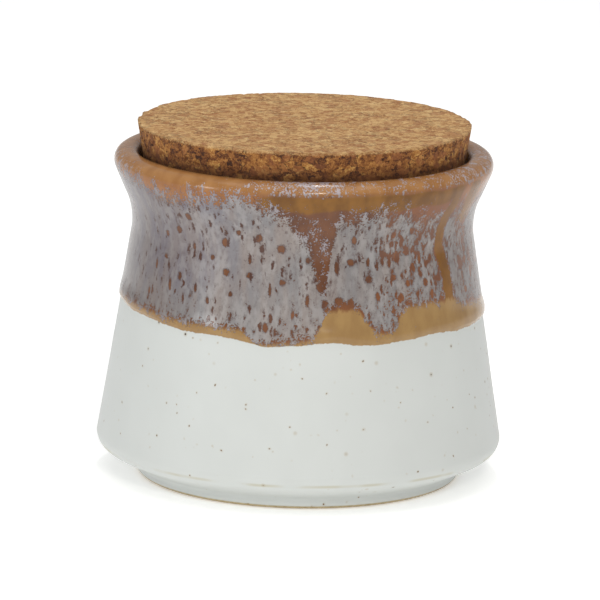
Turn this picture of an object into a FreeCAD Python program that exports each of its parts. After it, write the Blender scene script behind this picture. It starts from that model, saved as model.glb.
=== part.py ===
"""Stoneware storage jar with a cork stopper, in millimetres.

The jar is thrown ware: a recessed foot, an underside that slopes out to a broad heel, a wall that
leans in to a waist, and a mouth that flares out to a thick rounded lip.  Its upper part carries a
second, thicker glaze that ends in a rolled edge.  The stopper is a tapered disc of agglomerated cork.
Its bevelled lower edge sits on the flare inside the mouth, and its top stands above the lip.

Frame: origin at the centre of the foot's underside, +Z up along the axis.
"""
import FreeCAD, Part
import math
import os

import Sketcher

# Driving dimensions: alias, value and what it is.  Corners are sharp corners, before rounding.
DIMENSIONS = [
    ("foot_radius", 46.4, "outside of the foot"),
    ("foot_height", 3.3, "where the heel's underside meets the foot"),
    ("foot_ring_width", 5.5, "width of the ring that the jar stands on"),
    ("recess_depth", 2.5, "depth of the hollow inside the foot ring"),
    ("heel_radius", 58.55, "where the wall's line meets the heel's underside"),
    ("heel_height", 8.8, "height of that corner"),
    ("wall_lean", 9.1, "inward lean of the wall, in degrees"),
    ("waist_height", 76.2, "where the wall's line meets the flare's line"),
    ("flare_height", 18.1, "waist's corner up to the lip's top"),
    ("flare_run", 7.9, "waist's corner out to the lip's outer corner"),
    ("lip_width", 8.3, "lip's outer corner to its inner corner"),
    ("wall_thickness", 5.8, "wall, measured level"),
    ("floor_thickness", 6.0, "floor, above the recess"),
    ("glaze_line", 48.2, "height at which the thick upper glaze ends"),
    ("glaze_thickness", 0.45, "how far the upper glaze stands proud of the lower one"),
    ("foot_round", 1.55, "outer edge of the foot ring"),
    ("foot_hollow", 2.4, "hollow curve between the foot and the heel's underside"),
    ("ring_round", 0.8, "inner edge of the foot ring"),
    ("heel_round", 4.4, "heel, between its underside and the wall"),
    ("waist_round", 18.0, "hollow curve of the waist"),
    ("lip_outer_round", 3.8, "outside of the lip"),
    ("lip_inner_round", 2.3, "inside of the lip"),
    ("throat_round", 14.0, "inside of the waist"),
    ("floor_round", 8.0, "corner between floor and wall, inside"),
    ("cork_thickness", 16.9, "full thickness of the stopper"),
    ("cork_seat_depth", 9.0, "lip's top down to the stopper's underside"),
    ("cork_taper_angle", 9.0, "lean of the stopper's side, in degrees"),
    ("cork_bevel", 1.2, "height of the bevel that sits in the mouth"),
    ("cork_clearance", 0.1, "stopper's bevel to the mouth, measured level"),
    ("cork_edge_round", 0.5, "top edge of the stopper"),
]


def wall_radius(height):
    """Radius of the clay wall's outer face at a height."""
    return f"(Sizes.heel_radius - ({height} - Sizes.heel_height) * tan(Sizes.wall_lean * 1 deg))"


# What follows from the sizes, over the glaze where the glaze covers it.
FLOOR_HEIGHT = "(Sizes.recess_depth + Sizes.floor_thickness)"
RIM_HEIGHT = "(Sizes.waist_height + Sizes.flare_height)"
WAIST_RADIUS = f"({wall_radius('Sizes.waist_height')} + Sizes.glaze_thickness)"
RIM_RADIUS = f"({WAIST_RADIUS} + Sizes.flare_run)"
LIP_INNER_RADIUS = f"({RIM_RADIUS} - Sizes.lip_width)"
THROAT_RADIUS = f"({WAIST_RADIUS} - Sizes.wall_thickness)"


def mouth_radius(depth):
    """Radius inside the mouth at a depth below the lip's top."""
    return f"({LIP_INNER_RADIUS} - ({LIP_INNER_RADIUS} - {THROAT_RADIUS}) * ({depth}) / Sizes.flare_height)"


def make_sheet(doc):
    sheet = doc.addObject("Spreadsheet::Sheet", "Sizes")
    for row, (alias, value, meaning) in enumerate(DIMENSIONS, start=1):
        sheet.set(f"A{row}", alias)
        sheet.set(f"B{row}", str(value))
        sheet.setAlias(f"B{row}", alias)
        sheet.set(f"C{row}", meaning)
    doc.recompute()


class HalfSection:
    """A closed sketch on a body's XZ plane, to be turned about the body's Z axis.

    Its corners are named, in order, and each is a radius and a height: expressions on the sheet, or None
    on the axis and on the ground.
    """

    def __init__(self, body, name, corners):
        self.body = body
        self.names = list(corners)
        self.sketch = body.newObject("Sketcher::SketchObject", name)
        planes = body.Origin.OriginFeatures
        section_plane = next(plane for plane in planes if plane.Role == "XZ_Plane")
        self.sketch.AttachmentSupport = [(section_plane, "")]
        self.sketch.MapMode = "FlatFace"
        self._draw(len(corners))
        for index, (radius, height) in enumerate(corners.values()):
            self._place(index, "DistanceX", radius)
            self._place(index, "DistanceY", height)
        body.Document.recompute()

    def _draw(self, count):
        # A rough loop with no two sides in line; the constraints bring it to its true shape.
        loop = [FreeCAD.Vector(i + 1, (i + 1) ** 2, 0) for i in range(count)]
        for start, end in zip(loop, loop[1:] + loop[:1]):
            self.sketch.addGeometry(Part.LineSegment(start, end), False)
        for index in range(count):
            following = (index + 1) % count
            self.sketch.addConstraint(Sketcher.Constraint("Coincident", index, 2, following, 1))

    def _place(self, index, kind, expression):
        if expression is None:
            axis = -2 if kind == "DistanceX" else -1
            self.sketch.addConstraint(Sketcher.Constraint("PointOnObject", index, 1, axis))
            return
        rough = index + 1.0
        number = self.sketch.addConstraint(Sketcher.Constraint(kind, -1, 1, index, 1, rough))
        self.sketch.setExpression(f"Constraints[{number}]", expression)

    def revolve(self, kind, name):
        """Turns the section into a Revolution, which adds, or a Groove, which cuts."""
        feature = self.body.newObject(f"PartDesign::{kind}", name)
        feature.Profile = self.sketch
        feature.ReferenceAxis = (self.sketch, ["V_Axis"])
        feature.Angle = 360.0
        self.body.Document.recompute()

    def round(self, corner, name, size):
        """Rounds the edge that a named corner has become; size is an expression on the sheet."""
        point = self.sketch.getPoint(self.names.index(corner), 1)
        base = self.body.Tip
        fillet = self.body.newObject("PartDesign::Fillet", name)
        fillet.Base = (base, [circle_at(base.Shape, point.x, point.y)])
        fillet.setExpression("Radius", size)
        self.body.Document.recompute()


def circle_at(shape, radius, height):
    """Name of the circular edge about the axis that has this radius and height."""
    for number, edge in enumerate(shape.Edges, start=1):
        if not isinstance(edge.Curve, Part.Circle):
            continue
        if math.dist((edge.Curve.Radius, edge.Curve.Center.z), (radius, height)) < 1e-3:
            return f"Edge{number}"
    raise RuntimeError(f"no edge of radius {radius:.3f} at height {height:.3f}")


def make_jar(doc):
    jar = doc.addObject("PartDesign::Body", "Jar")
    jar.Label = "jar"
    clay_at_line = wall_radius("Sizes.glaze_line")
    ring_inner = "Sizes.foot_radius - Sizes.foot_ring_width"

    outside = HalfSection(jar, "OutsideProfile", {
        "ground": (None, None),
        "foot": ("Sizes.foot_radius", None),
        "foot_top": ("Sizes.foot_radius", "Sizes.foot_height"),
        "heel": ("Sizes.heel_radius", "Sizes.heel_height"),
        "clay_at_line": (clay_at_line, "Sizes.glaze_line"),
        "glaze_edge": (f"{clay_at_line} + Sizes.glaze_thickness", "Sizes.glaze_line"),
        "waist": (WAIST_RADIUS, "Sizes.waist_height"),
        "rim": (RIM_RADIUS, RIM_HEIGHT),
        "mouth_middle": (None, RIM_HEIGHT),
    })
    outside.revolve("Revolution", "Ware")

    inside = HalfSection(jar, "CavityProfile", {
        "floor_middle": (None, FLOOR_HEIGHT),
        "floor": (f"{wall_radius(FLOOR_HEIGHT)} - Sizes.wall_thickness", FLOOR_HEIGHT),
        "throat": (THROAT_RADIUS, "Sizes.waist_height"),
        "lip": (LIP_INNER_RADIUS, RIM_HEIGHT),
        "mouth_middle": (None, RIM_HEIGHT),
    })
    inside.revolve("Groove", "Cavity")

    recess = HalfSection(jar, "RecessProfile", {
        "ground": (None, None),
        "ring": (ring_inner, None),
        "recess": (ring_inner, "Sizes.recess_depth"),
        "recess_middle": (None, "Sizes.recess_depth"),
    })
    recess.revolve("Groove", "FootRecess")

    # Roundings on a narrow face each keep to their part of it.
    heel_ledge = "(Sizes.heel_radius - Sizes.foot_radius)"
    foot_turn = f"(45 deg - 0.5 * atan((Sizes.heel_height - Sizes.foot_height) / {heel_ledge}))"
    roll_share = "tan(45 deg - Sizes.wall_lean * 0.5 deg)"
    outside.round("heel", "HeelRound", f"min(Sizes.heel_round; 0.6 * {heel_ledge})")
    outside.round("waist", "WaistRound", "Sizes.waist_round")
    outside.round("rim", "LipOuterRound", "min(Sizes.lip_outer_round; 0.46 * Sizes.lip_width)")
    inside.round("lip", "LipInnerRound", "min(Sizes.lip_inner_round; 0.28 * Sizes.lip_width)")
    inside.round("throat", "ThroatRound", "Sizes.throat_round")
    inside.round("floor", "FloorRound", "Sizes.floor_round")
    outside.round("glaze_edge", "GlazeRoll", f"0.9 * Sizes.glaze_thickness * {roll_share}")
    hollow_limit = f"0.5 * Sizes.foot_height / tan({foot_turn})"
    outside.round("foot_top", "FootHollow", f"min(Sizes.foot_hollow; {hollow_limit})")
    foot_limits = "0.3 * Sizes.foot_ring_width; 0.48 * Sizes.foot_height"
    outside.round("foot", "FootRound", f"min(Sizes.foot_round; {foot_limits})")
    recess.round("ring", "RingRound", "min(Sizes.ring_round; 0.3 * Sizes.foot_ring_width)")
    return jar


def make_cork(doc):
    cork = doc.addObject("PartDesign::Body", "Cork")
    cork.Label = "cork_stopper"
    underside = f"({RIM_HEIGHT} - Sizes.cork_seat_depth)"
    top = f"{underside} + Sizes.cork_thickness"
    bevel_radius = f"{mouth_radius('Sizes.cork_seat_depth - Sizes.cork_bevel')} - Sizes.cork_clearance"
    side_run = "(Sizes.cork_thickness - Sizes.cork_bevel) * tan(Sizes.cork_taper_angle * 1 deg)"

    section = HalfSection(cork, "CorkProfile", {
        "underside_middle": (None, underside),
        "underside": (f"{mouth_radius('Sizes.cork_seat_depth')} - Sizes.cork_clearance", underside),
        "bevel": (bevel_radius, f"{underside} + Sizes.cork_bevel"),
        "top": (f"{bevel_radius} + {side_run}", top),
        "top_middle": (None, top),
    })
    section.revolve("Revolution", "Stopper")
    section.round("top", "CorkEdgeRound", "Sizes.cork_edge_round")
    return cork


def check(doc, parts):
    for item in doc.Objects:
        if {"Invalid", "Error"} & set(item.State):
            raise RuntimeError(f"{item.Label} failed: {item.State}")
    for part in parts:
        shape = part.Shape
        if shape.isNull() or not shape.isValid() or len(shape.Solids) != 1:
            raise RuntimeError(f"{part.Label} is not one valid solid")


def main():
    doc = FreeCAD.newDocument("CorkStopperedJar")
    make_sheet(doc)
    parts = [make_jar(doc), make_cork(doc)]
    doc.recompute()
    check(doc, parts)
    os.makedirs("parts", exist_ok=True)
    for part in parts:
        part.Shape.exportStep(f"parts/{part.Label}.step")
        print(f"{part.Label}: {part.Shape.Volume / 1000:.1f} cm3")


main()
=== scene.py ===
from math import cos, exp, hypot, pi, radians, sin, tan

import bmesh
import bpy
import numpy as np
from mathutils import Matrix, Vector, noise


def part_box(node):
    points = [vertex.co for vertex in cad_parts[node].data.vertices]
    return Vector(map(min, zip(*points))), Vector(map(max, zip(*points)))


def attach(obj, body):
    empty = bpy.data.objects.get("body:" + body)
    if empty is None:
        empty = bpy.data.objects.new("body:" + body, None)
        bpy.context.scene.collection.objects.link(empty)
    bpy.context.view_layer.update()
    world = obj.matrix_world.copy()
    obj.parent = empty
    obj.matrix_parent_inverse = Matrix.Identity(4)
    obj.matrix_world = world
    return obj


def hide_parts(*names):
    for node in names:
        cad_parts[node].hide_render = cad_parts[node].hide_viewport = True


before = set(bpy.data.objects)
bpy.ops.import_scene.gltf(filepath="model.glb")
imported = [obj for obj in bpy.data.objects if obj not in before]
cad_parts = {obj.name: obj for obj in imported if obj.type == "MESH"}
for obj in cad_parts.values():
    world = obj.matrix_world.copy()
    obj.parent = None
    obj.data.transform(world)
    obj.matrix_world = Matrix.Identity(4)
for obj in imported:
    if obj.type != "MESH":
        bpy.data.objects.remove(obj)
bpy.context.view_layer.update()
scene = bpy.context.scene
mm = 0.001


# ---- Camera ---------------------------------------------------------------------------------------
# A long lens more than a metre and a half away, raised by twelve degrees, so that the lip shows as a
# narrow ellipse.  It is rolled by a little over a degree: the jar then leans slightly to the right.

camera_distance = 1600 * mm
camera_height = radians(12.3)
camera_roll = radians(1.23)
camera_target = Vector((-0.28, 0, 50.13)) * mm

camera = bpy.data.objects.new("camera", bpy.data.cameras.new("camera"))
camera.data.lens = 334.4
camera.data.sensor_width = 36
eye = camera_target + camera_distance * Vector((0, -cos(camera_height), sin(camera_height)))
tilt = Matrix.Rotation(pi / 2 - camera_height, 4, "X")
camera.matrix_world = Matrix.Translation(eye) @ tilt @ Matrix.Rotation(camera_roll, 4, "Z")
scene.collection.objects.link(camera)
scene.camera = camera


# ---- Floor and light ------------------------------------------------------------------------------
# A white table that glows a little, so that hardly a shadow lies under the jar.  A broad box hangs
# overhead; a cool one to the left puts a sheen on the glaze's roll, a warm one and a low one fill the
# front, and a small one behind draws the broken highlight along the lip.

scene.view_settings.view_transform = "Standard"

sky = bpy.data.worlds.new("studio")
sky.use_nodes = True
sky.node_tree.nodes["Background"].inputs["Color"].default_value = (1.0, 1.0, 1.0, 1.0)
sky.node_tree.nodes["Background"].inputs["Strength"].default_value = 0.4
scene.world = sky

table_top = bmesh.new()
bmesh.ops.create_grid(table_top, x_segments=1, y_segments=1, size=4.0)
table_mesh = bpy.data.meshes.new("table_top")
table_top.to_mesh(table_mesh)
table_top.free()
table_mesh.transform(Matrix.Translation((0, 0, -0.1 * mm)))
table = bpy.data.objects.new("table_top", table_mesh)
scene.collection.objects.link(table)

lit_panel = bpy.data.materials.new("lit_panel")
lit_panel.use_nodes = True
panel_shader = lit_panel.node_tree.nodes["Principled BSDF"]
panel_shader.inputs["Base Color"].default_value = (0.93, 0.93, 0.92, 1.0)
panel_shader.inputs["Roughness"].default_value = 0.9
panel_shader.inputs["Emission Color"].default_value = (1.0, 1.0, 1.0, 1.0)
panel_shader.inputs["Emission Strength"].default_value = 0.33
table_mesh.materials.append(lit_panel)

# Name, direction round from the front and height in degrees, distance, width, watts, colour.
soft_boxes = [
    ("left_box", -60, 12, 1.3, 0.24, 2.0, (0.93, 0.97, 1.0)),
    ("front_box", 8, 27, 1.7, 0.24, 5.6, (1.0, 0.97, 0.92)),
    ("top_box", 0, 75, 1.6, 1.7, 13.0, (1.0, 1.0, 1.0)),
    ("rear_box", 173, 67, 1.6, 0.1, 2.8, (1.0, 1.0, 1.0)),
    ("low_box", -12, 9, 1.8, 1.2, 2.2, (1.0, 0.99, 0.96)),
]
for name, side, height, distance, width, power, tint in soft_boxes:
    lamp = bpy.data.lights.new(name, "AREA")
    lamp.size = width
    lamp.energy = power
    lamp.color = tint
    box = bpy.data.objects.new(name, lamp)
    side, height = radians(side), radians(height)
    outward = Vector((sin(side) * cos(height), -cos(side) * cos(height), sin(height)))
    box.matrix_world = Matrix.Translation(camera_target + distance * outward) @ (
        outward.to_track_quat("Z", "Y").to_matrix().to_4x4()
    )
    scene.collection.objects.link(box)


# ---- Jar ------------------------------------------------------------------------------------------
# One thrown stoneware vessel.  A satin white glaze covers it from the foot up; over that its upper
# half was dipped in an iron glaze that runs to ochre where it is thick, and in a milky one that broke
# into streaks and left the brown showing through.  The double glaze ends in a thick, wavy roll.

_, jar_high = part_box("jar")
belly_radius = jar_high.x
lip_top = jar_high.z
foot_radius = 46.4 * mm
foot_ring_width = 5.5 * mm
recess_depth = 2.5 * mm
foot_top = 3.3 * mm
heel_height = 8.8 * mm
heel_corner = belly_radius + 0.46 * mm
wall_thickness = 5.8 * mm
wall_lean = radians(9.1)
floor_top = 8.5 * mm
waist_height = lip_top - 18.1 * mm
glaze_thickness = 0.45 * mm
waist_corner = heel_corner - (waist_height - heel_height) * tan(wall_lean) + glaze_thickness
lip_corner = waist_corner + 7.9 * mm
lip_width = 8.3 * mm
steps_round = 648

# Corners of the section, from the middle of the underside round to the middle of the inside floor:
# radius, height, rounding, and the steps that the rounding is made in.
corners = [
    (0, recess_depth, 0, 0),
    (foot_radius - foot_ring_width, recess_depth, 1.0 * mm, 3),
    (foot_radius - foot_ring_width, 0, 0.8 * mm, 3),
    (foot_radius, 0, 1.55 * mm, 5),
    (foot_radius, foot_top, 2.4 * mm, 5),
    (heel_corner, heel_height, 4.4 * mm, 10),
    (waist_corner, waist_height, 18.0 * mm, 10),
    (lip_corner, lip_top, 3.8 * mm, 10),
    (lip_corner - lip_width, lip_top, 2.3 * mm, 6),
    (waist_corner - wall_thickness, waist_height, 14.0 * mm, 5),
    (heel_corner - (floor_top - heel_height) * tan(wall_lean) - wall_thickness, floor_top, 8.0 * mm, 5),
    (0, floor_top, 0, 0),
]
ware = bmesh.new()
section = [ware.verts.new((corner[0], 0, corner[1])) for corner in corners]
for start, end in zip(section, section[1:]):
    ware.edges.new((start, end))
for corner, (radius, height, rounding, steps) in zip(section, corners):
    if rounding:
        sides = [edge.other_vert(corner).co - corner.co for edge in corner.link_edges]
        half_angle = sides[0].angle(sides[1]) / 2
        bmesh.ops.bevel(
            ware, geom=[corner], affect="VERTICES", offset=rounding / tan(half_angle),
            segments=steps, profile=0.5, material=-1,
        )

# Rows lie close together where the glaze ends and where it breaks, and wide apart on the plain wall.
rows = [*range(14, 44, 5), *np.arange(45, 56, 0.5), *np.arange(56, 91, 0.9)]
mid_wall = heel_corner - wall_thickness / 2
for row in rows:
    outside = [
        edge for edge in ware.edges
        if edge.verts[0].co.x > mid_wall - edge.verts[0].co.z * tan(wall_lean)
    ]
    bmesh.ops.bisect_plane(
        ware, geom=outside, plane_co=(0, 0, row * mm), plane_no=(0, 0, 1), dist=0.1 * mm
    )


def turn(shape):
    """Turns one slice out of the section, and sets it round the axis slice by slice."""
    slices = 24
    axis = {"cent": (0, 0, 0), "axis": (0, 0, 1)}
    bmesh.ops.spin(
        shape, geom=shape.verts[:] + shape.edges[:], **axis,
        angle=2 * pi / slices, steps=steps_round // slices,
    )
    bmesh.ops.spin(
        shape, geom=shape.verts[:] + shape.edges[:] + shape.faces[:], **axis,
        angle=2 * pi * (slices - 1) / slices, steps=slices - 1, use_duplicate=True,
    )
    bmesh.ops.remove_doubles(shape, verts=shape.verts[:], dist=0.001 * mm)
    bmesh.ops.recalc_face_normals(shape, faces=shape.faces[:])


def finished_piece(name, shape):
    """The shape as a smooth piece in the scene."""
    mesh = bpy.data.meshes.new(name)
    shape.to_mesh(mesh)
    shape.free()
    mesh.shade_smooth()
    piece = bpy.data.objects.new(name, mesh)
    scene.collection.objects.link(piece)
    return piece


turn(ware)
jar = finished_piece("jar_ware", ware)
jar_mesh = jar.data

# What changes round the wall is given at angles in degrees, from the front towards the right, with
# heights in millimetres.  The double glaze ends at glaze_edge, and the milky one runs from milk_foot
# up to milk_head.
glaze_edge = [
    (-110, 50.3), (-80, 51.2), (-60, 50.6), (-48, 50), (-30, 49.6), (-20, 49.2), (-15, 48.3), (-11, 47.5),
    (-6, 47.9), (0, 48.5), (5, 49), (10, 49), (16, 48.5), (25, 48), (34, 48.4), (46, 49), (56, 48.6),
    (70, 48.1), (86, 47.6), (100, 48), (116, 48.8), (130, 49.4), (143, 48.9), (155, 48.2), (168, 48.8),
    (180, 49.5), (192, 49), (205, 48.4), (220, 49), (235, 49.8),
]
milk_foot = [
    (-110, 53.2), (-80, 53), (-60, 52.4), (-50, 52), (-35, 51.8), (-20, 51.8), (-17, 51), (-15, 49),
    (-11, 47.8), (-6, 48.4), (0, 49), (4, 50), (6, 52.5), (7.5, 57), (12, 60), (16, 59.6), (19, 57.5),
    (21, 54), (24, 51.2), (28, 50.6), (31, 51.5), (33, 56), (36, 57.8), (45, 57.4), (58, 57), (62, 55),
    (70, 54), (80, 53.6), (105, 53.2), (110, 57), (124, 58), (130, 54), (142, 52.6), (158, 52.8),
    (163, 51), (170, 50), (180, 52.5), (188, 56.5), (202, 57.5), (211, 57), (216, 53.6), (230, 52.8),
]
milk_head = [
    (-110, 91), (-80, 92), (-60, 91), (-52, 89), (-45, 88), (-30, 89.5), (-18, 91), (-12, 88), (-6, 86),
    (-3.5, 85), (-2.5, 80), (1, 79), (3, 75), (5, 70), (6.5, 64), (8.5, 64), (9.5, 78), (11, 85),
    (20, 86), (28, 87), (34, 87), (40, 84), (47, 84), (53, 84), (56, 84), (59.5, 86), (62, 80), (66, 77),
    (70, 84), (76, 88), (95, 89), (105, 90), (112, 86), (116, 75), (120, 72), (124, 84), (135, 88),
    (150, 90), (165, 88), (175, 86), (181, 72), (188, 70), (192, 85), (210, 87), (225, 85), (229, 60),
    (233, 60), (236, 84),
]

co = np.empty(len(jar_mesh.vertices) * 3)
jar_mesh.vertices.foreach_get("co", co)
co = co.reshape(-1, 3)
radius = np.hypot(co[:, 0], co[:, 1])
angle = np.degrees(np.arctan2(co[:, 0], -co[:, 1]))
height = co[:, 2] / mm


def around(points, spread):
    """The value that belongs to each vertex's angle, eased over a spread of degrees."""
    given, values = zip(*points)
    offsets = np.linspace(-spread, spread, 9)
    return np.mean([np.interp(angle + offset, given, values, period=360) for offset in offsets], axis=0)


def smooth(value, low, high):
    """0 at low, 1 at high, eased in between."""
    part = np.clip((value - low) / (high - low), 0, 1)
    return part * part * (3 - 2 * part)


ripple = np.array([noise.noise(Vector(point) * 90) for point in co.tolist()])
fine_ripple = np.array([noise.noise(Vector(point) * 330) for point in co.tolist()])
edge_height = around(glaze_edge, 2.0) + 0.5 * ripple + 0.15 * fine_ripple
above_edge = height - edge_height
outside = (radius > mid_wall - height * mm * tan(wall_lean)) & (height > heel_height / mm + 3)

# The section's line leans from the clay at the heel to the outside of the double glaze at the waist.
# So the clay lies inside it by more and more, and the glaze brings the wall out again above its edge.
roll_height = 0.3 * mm
throwing_marks = 0.06 * mm
bare = glaze_thickness * np.clip((height * mm - heel_height) / (waist_height - heel_height), 0, 1)
glaze = glaze_thickness * smooth(above_edge, 0, 0.9)
roll = roll_height * smooth(above_edge, 0, 1.2) * np.exp(-((above_edge - 2.2) / 2.2) ** 2) * (1 + ripple)
thrown = -throwing_marks * (1 + ripple)
below_waist = height * mm < waist_height
lift = np.where(below_waist, glaze + roll - bare, 0) + thrown * smooth(height, 10, 16)
lift = np.where(outside, lift, 0)
scale = 1 + lift / np.maximum(radius, 1 * mm)
co[:, 0] *= scale
co[:, 1] *= scale
jar_mesh.vertices.foreach_set("co", co.reshape(-1))
jar_mesh.update()

# How well the milky glaze covers, from -1 for not at all to 1 for wholly.  A little of it has frosted
# the lip, more in some places than in others.
lip_frost = [
    (-110, -0.9), (-60, -1), (-35, -1), (-22, -0.8), (-12, -0.4), (-5, 0.1), (8, 0.2), (14, -0.3),
    (24, -0.5), (32, -0.15), (50, -0.1), (62, 0.1), (85, 0.1), (100, -0.5), (130, -0.9), (170, -0.3),
    (200, -0.9),
]
foot_share = smooth(height - around(milk_foot, 0.6), -2.6, 3.2) * 2 - 1
head_share = smooth(around(milk_head, 1.0) - height, -5.5, 6.5) * 2 - 1
head_share = np.maximum(head_share, np.where(outside, around(lip_frost, 2.0) - smooth(height, 91.5, 90), -1))
cover = np.where(height > 45, np.minimum(foot_share, head_share), -1)
flecked = smooth(height, 57, 66) * smooth(height, 89, 82) * outside

# Burst bubbles, healed over with brown: angle, height, width, length.  Behind they lie in mirror image.
bursts = [
    (-50.5, 75.3, 1.4, 1.8), (-50.5, 69, 1.8, 1.0), (-44.5, 77.3, 2.1, 2.0), (-39, 81.7, 2.1, 2.0),
    (-38, 73.3, 0.9, 2.4), (-30.5, 71, 1.3, 1.6), (-26, 75.8, 2.1, 2.5), (-25, 67.4, 2.2, 1.9),
    (-43, 64.3, 1.6, 2.4), (-47, 61.5, 1.2, 3.4), (-21, 79, 1.6, 1.4), (-14.2, 77.8, 2.0, 2.4),
    (-17.2, 71.5, 1.0, 2.6), (-17, 67.2, 2.0, 1.7), (-23, 61.5, 1.2, 1.6), (-6.6, 75, 2.5, 2.4),
    (-6, 65.7, 1.9, 1.9), (-10, 63.5, 0.9, 3.6), (-11, 53, 1.8, 2.6), (2, 61, 1.1, 3.4),
    (2, 72, 1.5, 2.0), (5.8, 64.5, 1.7, 2.2), (11.5, 70, 1.4, 4.2), (17, 77.5, 1.5, 2.6),
    (16.2, 71.3, 2.0, 2.0), (22, 66.5, 2.3, 2.6), (22, 71, 1.0, 2.6), (29, 82, 1.4, 2.6),
    (31, 78.5, 1.8, 2.2), (27.5, 73, 2.2, 1.9), (32.5, 72, 2.2, 3.4), (36.5, 73, 2.2, 1.8),
    (31, 66.5, 2.1, 2.3), (42, 71, 1.3, 3.4), (47, 70.5, 1.8, 2.4), (36.5, 64.5, 1.5, 2.2),
    (44, 64, 1.8, 2.2), (50, 64.4, 2.4, 2.1), (33.5, 60.5, 2.3, 2.5), (68, 67.5, 2.3, 2.0),
    (66, 59, 1.8, 2.2), (7.5, 60, 1.8, 2.2), (12, 60.8, 2.4, 2.0), (15.8, 60, 2.0, 2.4),
    (-2.5, 57, 0.9, 3.0), (-31, 59, 1.2, 2.0), (-36, 62, 1.0, 2.6), (-55, 66, 1.0, 3.0),
    (-57, 58, 1.2, 2.6), (38, 79, 1.6, 2.4), (42, 77, 1.4, 2.8), (39, 68.5, 1.6, 2.8),
    (46.5, 60.5, 1.4, 3.0), (25, 61.5, 1.4, 3.0), (72, 63, 1.4, 3.6),
]
burst = np.zeros(len(height))
for half_turn, direction in ((0, 1), (176, -1)):
    for side, middle, width, length in bursts:
        round_by = (angle - half_turn - direction * side + 180) % 360 - 180
        across = np.radians(round_by) * radius / mm / (0.6 * width)
        along = (height - middle) / (0.6 * length)
        burst = np.maximum(burst, np.exp(-across ** 2 - along ** 2))

# How often the milky glaze is pricked with brown: by angle, and more towards its foot.
pricked_by_angle = [
    (-110, 0.15), (-70, 0.2), (-50, 0.5), (-30, 0.3), (-12, 0.3), (2, 0.5), (14, 0.4), (25, 0.75),
    (30, 1.1), (46, 1.15), (58, 0.9), (66, 1.3), (80, 1.2), (100, 0.5), (140, 0.3), (175, 0.5),
    (205, 0.9), (230, 0.5),
]
pricked = np.clip(around(pricked_by_angle, 2.0) * 0.75 + 0.35 * smooth(height, 66, 56), 0, 1)

# Where the milky glaze is thin, the brown below darkens it.
thin_by_angle = [
    (-110, 0.7), (-75, 0.8), (-55, 0.8), (-45, 0.5), (-32, 0), (-25, -0.1), (3, 0), (8, 0.3), (19, 0.2),
    (25, -0.1), (45, -0.1), (58, 0.35), (75, 0.8), (110, 0.5), (150, 0.1), (190, 0.5), (220, 0.2),
]
thin = around(thin_by_angle, 3.0)

# The iron glaze pools to ochre below the milky one, and to a darker honey under the lip on the right
# and in two runs, which part the milky glaze.  Elsewhere it is rusty below the lip.
pool = smooth(np.minimum(around(milk_foot, 1.5), 57.5) - height, -3.6, 2.0)
right_side = smooth(angle, -24, -4) * smooth(angle, 66, 50)
band_height = height + 1.5 * ripple
under_lip = smooth(band_height, 84.5, 88.5) * smooth(band_height, 92.5, 89.5) * right_side
run_middle = np.interp(height, (56, 64, 73, 79, 86), (55, 54.6, 52, 52.5, 54.5))
run = smooth(np.abs(angle - run_middle + ripple), 3.6, 1.0) * smooth(height, 50, 58) * smooth(height, 93, 89)
second_run = smooth(np.abs(angle - 64 + 2 * ripple), 6, 1.5) * smooth(height, 74, 82) * smooth(height, 93, 89)
honey = np.maximum(np.maximum(under_lip, run), second_run)
cover = np.minimum(cover, 1 - 2.0 * np.maximum(run, 0.9 * second_run))
cover = np.maximum(cover, 0.6 * flecked * (1 - honey) - 1)
rusty = smooth(height + 2 * ripple, 82, 88) * (1 - 0.8 * right_side)

# Violet comes up where the milky glaze is thickest, on the left of the waist and again behind.  On the
# left it is also painted shade: there the darker violet-grey stands in for the shade on that side.
violet_and_shade = np.zeros(len(height))
for middle in (-52, 140):
    round_by = (angle - middle + 180) % 360 - 180
    violet_and_shade = np.maximum(violet_and_shade, np.exp(-(round_by / 26) ** 2) * smooth(height, 54, 70))

for name, values in (
    ("above_edge", above_edge), ("cover", cover), ("burst", burst), ("pricked", pricked),
    ("thin", thin), ("pool", pool), ("honey", honey), ("rusty", rusty), ("violet_and_shade", violet_and_shade),
):
    layer = jar_mesh.attributes.new(name, "FLOAT", "POINT")
    layer.data.foreach_set("value", values.astype(np.float32))


def paint(red, green, blue):
    """A colour given in the usual 0 to 255 scale, as the shader's linear one."""
    shares = (red / 255, green / 255, blue / 255)
    return (*(((share + 0.055) / 1.055) ** 2.4 for share in shares), 1.0)


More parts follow.
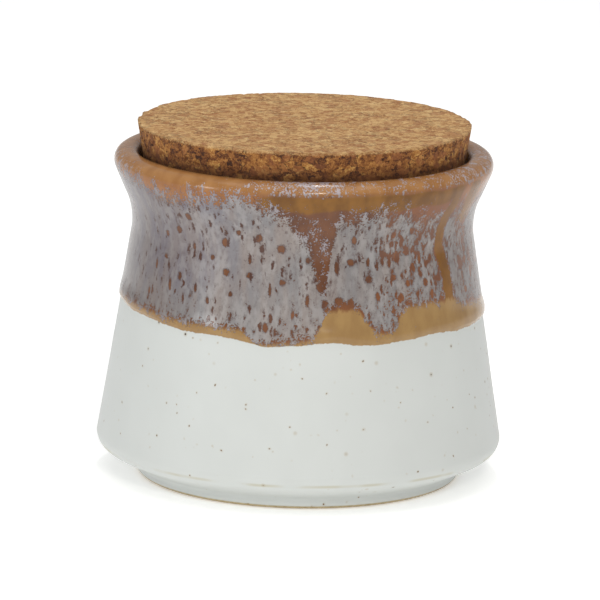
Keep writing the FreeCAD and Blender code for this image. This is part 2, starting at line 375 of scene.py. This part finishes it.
class Wire:
    """A shader socket.  A sum written with wires adds the Math nodes that work it out."""

    def __init__(self, tree, socket):
        self.tree = tree
        self.socket = socket

    def node(self, kind, settings, values, output=0):
        """Adds a node: its settings first, then the values or wires of its sockets."""
        made = self.tree.nodes.new("ShaderNode" + kind)
        for name, setting in settings.items():
            setattr(made, name, setting)
        for name, value in values.items():
            if isinstance(value, Wire):
                self.tree.links.new(value.socket, made.inputs[name])
            else:
                made.inputs[name].default_value = value
        return Wire(self.tree, made.outputs[output])

    def math(self, operation, first, second):
        return self.node("Math", {"operation": operation}, {0: first, 1: second})

    def __add__(self, other):
        return self.math("ADD", self, other)

    def __sub__(self, other):
        return self.math("SUBTRACT", self, other)

    def __rsub__(self, other):
        return self.math("SUBTRACT", other, self)

    def __mul__(self, other):
        return self.math("MULTIPLY", self, other)

    __radd__ = __add__
    __rmul__ = __mul__

    def stretched(self, x, y, z):
        return self.node("VectorMath", {"operation": "MULTIPLY"}, {0: self, 1: (x, y, z)})

    def noise(self, size, detail=2.0, roughness=0.5, distortion=0.0):
        values = {"Vector": self, "Scale": 1 / size, "Detail": detail, "Roughness": roughness}
        return self.node("TexNoise", {}, values | {"Distortion": distortion})

    def warped(self, size, amount):
        """The place, pushed about by a noise."""
        push = self.node("TexNoise", {}, {"Vector": self, "Scale": 1 / size, "Detail": 2.0}, 1)
        return self.node("VectorMath", {"operation": "MULTIPLY_ADD"}, {0: push, 1: (amount,) * 3, 2: self})

    def cells(self, size):
        """Points scattered a size apart: the distance to the nearest one, and two numbers of its own."""
        distance = self.node("TexVoronoi", {}, {"Vector": self, "Scale": 1 / size})
        colour = Wire(self.tree, distance.socket.node.outputs["Color"])
        first = self.node("SeparateColor", {}, {0: colour})
        return distance * size, first, Wire(self.tree, first.socket.node.outputs[1])

    def spots(self, size, widest, share):
        """Some of those points as spots of many widths: how far inside one each place is."""
        distance, width, chance = self.cells(size)
        present = (chance + (share - 1.0)).step(0.0, 0.01)
        return (width * 0.6 + 0.4) * widest - distance + (present - 1.0) * 9.0

    def part(self, name):
        """The value that the mesh holds under this name."""
        return self.node("Attribute", {"attribute_name": name}, {}, 2)

    def step(self, low, high):
        """0 at low, 1 at high, eased in between."""
        values = {"Value": self, "From Min": low, "From Max": high}
        return self.node("MapRange", {"interpolation_type": "SMOOTHSTEP"}, values)

    def ramp(self, *stops):
        """A colour for each value, from stops of a position and a colour."""
        made = self.node("ValToRGB", {}, {"Fac": self})
        elements = made.socket.node.color_ramp.elements
        for position, colour in stops[1:-1]:
            elements.new(position)
        for element, (position, colour) in zip(elements, stops):
            element.position = position
            element.color = colour
        return made

    def blend(self, low, high):
        """The colour low where this is 0 and high where it is 1."""
        return self.node("Mix", {"data_type": "RGBA"}, {0: self, 6: low, 7: high}, 2)


def new_finish(name):
    """A material, its shader, and the place on the piece in millimetres."""
    material = bpy.data.materials.new(name)
    material.use_nodes = True
    tree = material.node_tree
    place = Wire(tree, tree.nodes.new("ShaderNodeTexCoord").outputs["Object"])
    return material, tree.nodes["Principled BSDF"], place.stretched(1000, 1000, 1000)


stoneware, shader, place = new_finish("stoneware")
tree = stoneware.node_tree
cover = place.part("cover")
up = place.node("SeparateXYZ", {}, {0: place}, 2)
hanging = place.stretched(1, 1, 0.5)
running = place.stretched(1, 1, 0.16)
fine = place.noise(0.48, detail=2, roughness=0.6)
curd = hanging.noise(1.2, detail=3, roughness=0.6)
lump = hanging.noise(3.0, detail=2)
streak = running.noise(2.4, detail=3, roughness=0.6)
cloud = place.noise(14, detail=2)

# Body glaze: off-white, thin and creamy along the heel's edge, with specks of iron that bleed a little.
white = cloud.step(0.3, 0.7).blend(paint(198, 201, 198), paint(200, 203, 200))
heel_line = up.step(8.6, 9.2) * up.step(10.0, 9.4) * cloud.step(0.4, 0.62)
body = (heel_line * 0.55).blend(white, paint(178, 170, 142))
big_speck = place.spots(7.5, 0.52, 0.6)
small_speck = place.warped(5, 2).spots(3.2, 0.36, 0.5)
faint_speck = place.spots(3.9, 0.5, 0.4)
body = (faint_speck.step(0.0, 0.3) * 0.35).blend(body, paint(168, 150, 118))
body = (small_speck.step(-0.35, 0.1) * 0.3).blend(body, paint(170, 150, 110))
body = small_speck.step(0.0, 0.16).blend(body, paint(104, 76, 46))
body = (big_speck.step(-0.5, 0.1) * 0.35).blend(body, paint(160, 138, 96))
body = big_speck.step(0.06, 0.2).blend(body, paint(48, 34, 22))

# Iron glaze: red-brown where it is thin, orange near the lip, ochre or honey where it has run together.
pricked = place.part("pricked")
iron_cloud = hanging.noise(4, detail=4)
thickness = iron_cloud.step(0.3, 0.7)
brown = thickness.blend(paint(92, 58, 40), paint(114, 73, 47))
brown = (pricked.step(0.45, 0.8) * 0.7).blend(brown, paint(134, 84, 53))
orange = thickness.blend(paint(140, 90, 48), paint(158, 106, 60))
ochre = thickness.blend(paint(146, 114, 72), paint(158, 126, 80))
amber = thickness.blend(paint(104, 66, 18), paint(130, 87, 29))
tan_lip = thickness.blend(paint(148, 102, 58), paint(164, 118, 72))
iron = (place.part("rusty") + (curd - 0.5) * 0.6).step(0.2, 0.8).blend(brown, orange)
iron = (place.part("honey") + (iron_cloud - 0.5) * 0.6).step(0.35, 0.75).blend(iron, amber)
iron = (place.part("pool") + (curd - 0.5) * 0.8).step(0.35, 0.8).blend(iron, ochre)
iron = up.step(90.3, 92.3).blend(iron, tan_lip)

# Milky glaze: grey with mauve and violet in it.  It breaks into flecks at its head and teeth at its
# foot, and is pricked with short brown dashes that have darker rims.
loose = 1.0 - cover * cover * (0.65 - pricked * 0.4)
ragged = (fine - 0.5) * 3.4 + (curd - 0.5) * 2.2 + (lump - 0.5) * 1.6
shore = cover * 0.62 - pricked * 0.16 + loose * ragged + (streak - 0.5) * 0.8
dash = place.warped(2.0, 1.7).stretched(1, 1, 0.34).spots(1.45, 0.5, pricked * 0.7 + 0.2)
long_dash = place.warped(4, 1.5).stretched(1, 1, 0.13).spots(2.2, 0.24, place.part("violet_and_shade") * 0.7)
dash = dash.math("MAXIMUM", dash, long_dash) + (fine - 0.5) * 1.0 + (curd - 0.5) * 0.6
worn = place.stretched(1, 1, 0.55).noise(2.3, detail=4, roughness=0.62)
dash = dash.math("MAXIMUM", dash, (worn + pricked * 0.24 - 0.74) * 3.0 - up.step(66, 57) * 0.6)
burst = place.part("burst") + (curd - 0.5) * 0.9 + (fine - 0.5) * 0.6
in_milk = shore.step(-0.03, 0.09)
in_burst = burst.step(0.48, 0.6)
in_dash = dash.step(-0.02, 0.1)
milk_mask = in_milk * (1.0 - in_burst) * (1.0 - in_dash)
rim_of_shore = shore.step(-0.16, 0.0) * shore.step(0.16, 0.03)
rim_of_burst = burst.step(0.32, 0.46) * burst.step(0.68, 0.54)
rim_of_dash = dash.step(-0.25, 0.0)
rims = 1.0 - (1.0 - rim_of_shore) * (1.0 - rim_of_burst * in_milk) * (1.0 - rim_of_dash * in_milk)
drift = running.noise(5, detail=3).step(0.35, 0.65)
milk = drift.blend(paint(138, 128, 123), paint(129, 126, 126))
# Violet-grey, partly the glaze's own colour and partly painted shade on the jar's left side.
milk = (place.part("violet_and_shade") * (drift * 0.6 + 0.25)).blend(milk, paint(106, 101, 118))
milk = ((lump + (curd - 0.5) * 0.6).step(0.42, 0.7) * 0.5).blend(milk, paint(158, 154, 152))
milk = ((curd + (fine - 0.5) * 0.6).step(0.5, 0.3) * 0.3).blend(milk, paint(100, 88, 84))
milk = (place.part("thin") * 0.6).blend(milk, paint(98, 88, 86))
milk = (cover.step(0.6, -0.4) * 0.5).blend(milk, paint(146, 136, 145))
milk = up.step(91.0, 92.5).blend(milk, paint(172, 160, 162))
dark_pricks = in_dash * in_milk * pricked.step(0.75, 0.35)
dipped = milk_mask.blend((dark_pricks * 0.6).blend(iron, paint(70, 42, 32)), milk)
on_wall = up.step(91.5, 89.5)
dipped = (rims * on_wall * (0.65 - pricked * 0.3)).blend(dipped, paint(76, 54, 50))

# Bare clay shows on the foot ring.
clay = place.noise(1.2, detail=4).step(0.3, 0.7).blend(paint(160, 142, 104), paint(182, 166, 132))
lower = up.step(0.7, 1.1).blend(clay, body)
line = place.part("above_edge") + (place.noise(0.9, detail=2) - 0.5) * 0.7
dip_mask = line.step(-0.15, 0.2)
colour = dip_mask.blend(lower, dipped)
tree.links.new(colour.socket, shader.inputs["Base Color"])

satin, glossy, milk_haze = 0.42, 0.16, 0.06
finish = dip_mask * (glossy - satin) + satin + milk_mask * dip_mask * milk_haze
tree.links.new(finish.socket, shader.inputs["Roughness"])
shader.inputs["Specular IOR Level"].default_value = 0.33
relief = milk_mask * dip_mask * 0.07 + curd * dip_mask * 0.04 + cloud * 0.05
bump = relief.node("Bump", {}, {"Height": relief, "Distance": mm, "Strength": 1.0})
tree.links.new(bump.socket, shader.inputs["Normal"])
jar_mesh.materials.append(stoneware)

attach(jar, "root")
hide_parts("jar")


# ---- Stopper --------------------------------------------------------------------------------------
# A tapered disc cut from a block of agglomerated cork: granules of two to four millimetres pressed
# together with a binder.  Its top is sanded; its side is sawn, darker, and full of pits and chips.

cork_low, cork_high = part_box("cork_stopper")
cork_radius = cork_high.x
cork_lean = radians(9)
bevel_height = cork_low.z + 1.2 * mm
bevel_radius = cork_radius - (cork_high.z - bevel_height) * tan(cork_lean)

corners = [
    (0, cork_low.z),
    (bevel_radius - 0.4 * mm, cork_low.z),
    (bevel_radius, bevel_height),
    (cork_radius, cork_high.z),
    (0, cork_high.z),
]
disc = bmesh.new()
section = [disc.verts.new((radius, 0, height)) for radius, height in corners]
underside, bevel, side, top = [
    disc.edges.new((start, end)) for start, end in zip(section, section[1:])
]
bmesh.ops.subdivide_edges(disc, edges=[underside], cuts=9)
bmesh.ops.subdivide_edges(disc, edges=[side], cuts=38)
bmesh.ops.subdivide_edges(disc, edges=[top], cuts=48)
turn(disc)

# Granules stand a little proud of their seams, and some along the rim have broken away.  The foot of
# the side, which sits in the mouth, is left smooth.  The seed gives the same granules each time.
noise.seed_set(7)
granule_size = 2.6
seam_width = 0.22
seat_top = bevel_height / mm + 2
for vert in disc.verts:
    place = vert.co / mm
    wander = place + 0.9 * noise.noise_vector(place * 0.7)
    reach, _ = noise.voronoi(wander / granule_size)
    seam = 1 - min(1, (reach[1] - reach[0]) / seam_width)
    rough = noise.noise(place * 0.45)
    out = place.xy.length
    from_top = cork_high.z / mm - place.z
    from_rim = cork_radius / mm - out
    if from_top > 0.2:
        pit = max(0.0, noise.noise(place * 0.62 + Vector((9, 4, 2))) - 0.22)
        depth = 0.12 + 0.14 * seam + 0.1 * rough + 1.1 * pit
        if place.z < seat_top:
            depth = 0.02
        vert.co.xy *= 1 - min(depth, 0.9) / out if out > 40 else 1
    else:
        pit = max(0.0, noise.noise(place * 0.8 + Vector((3, 8, 5))) - 0.3)
        vert.co.z -= (0.05 + 0.07 * seam + 0.03 * rough + 0.5 * pit) * mm
    chip = max(0.0, noise.noise(place * 0.33 + Vector((5, 1, 7))) + 0.15)
    edge = exp(-(hypot(from_top, max(from_rim, 0)) / 0.55) ** 2)
    vert.co.z -= edge * (0.12 + 0.45 * chip) * mm
    vert.co.xy *= 1 - edge * (0.12 + 0.4 * chip) / max(out, 1)

cork = finished_piece("cork_disc", disc)

pressed_cork, shader, place = new_finish("pressed_cork")
tree = pressed_cork.node_tree
ragged = place.warped(1.0, 1.7)
cell_size = 2.3
_, granule, redness = ragged.cells(cell_size)
_, flake, _ = place.warped(0.6, 0.8).stretched(1, 1, 1.3).cells(1.0)
grit = place.noise(0.42, detail=3, roughness=0.7)
patch = place.noise(5, detail=2)
tone = granule * 0.28 + flake * 0.5 + (grit - 0.5) * 1.3 + (patch - 0.5) * 0.25 + 0.08
top_cork = tone.ramp(
    (0.0, paint(118, 74, 38)), (0.2, paint(165, 115, 66)), (0.5, paint(193, 152, 99)),
    (0.8, paint(210, 174, 120)), (1.0, paint(224, 194, 142)),
)
side_cork = (tone + (granule - 0.5) * 0.3).ramp(
    (0.0, paint(56, 28, 10)), (0.22, paint(108, 60, 23)), (0.5, paint(150, 96, 45)),
    (0.8, paint(182, 128, 64)), (1.0, paint(202, 158, 88)),
)
up = place.node("SeparateXYZ", {}, {0: place}, 2)
top_mask = (up + (grit - 0.5) * 1.2).step(cork_high.z / mm - 1.1, cork_high.z / mm - 0.4)
colour = top_mask.blend(side_cork, top_cork)
colour = (redness.step(0.72, 0.8) * 0.45).blend(colour, paint(150, 92, 54))
pit = place.warped(0.8, 0.9).stretched(1, 1, 1.5).spots(1.7, 0.44, 0.5) + (grit - 0.5) * 0.8
gap = ragged.node(
    "TexVoronoi", {"feature": "DISTANCE_TO_EDGE"}, {"Vector": ragged, "Scale": 1 / cell_size}
)
pit = pit.math("MAXIMUM", pit, 0.12 - gap * 3.0 - (patch.step(0.6, 0.4) * 0.3))

# Pits and seams are dark, and the side darkens down towards the mouth: painted shade, and a little dust.
colour = (pit.step(-0.1, 0.12) * (0.85 - top_mask * 0.4)).blend(colour, paint(66, 38, 20))
# Painted shade, with a little dust, where the cork goes down into the jar's mouth.
colour = (up.step(98.5, 93.5) * 0.6).blend(colour, paint(66, 34, 12))
tree.links.new(colour.socket, shader.inputs["Base Color"])
shader.inputs["Roughness"].default_value = 0.85
shader.inputs["Diffuse Roughness"].default_value = 1.0
relief = tone * 0.18 - pit.step(-0.2, 0.15) * 0.15
bump = relief.node("Bump", {}, {"Height": relief, "Distance": mm, "Strength": 1.0})
tree.links.new(bump.socket, shader.inputs["Normal"])
cork.data.materials.append(pressed_cork)

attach(cork, "root")
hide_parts("cork_stopper")
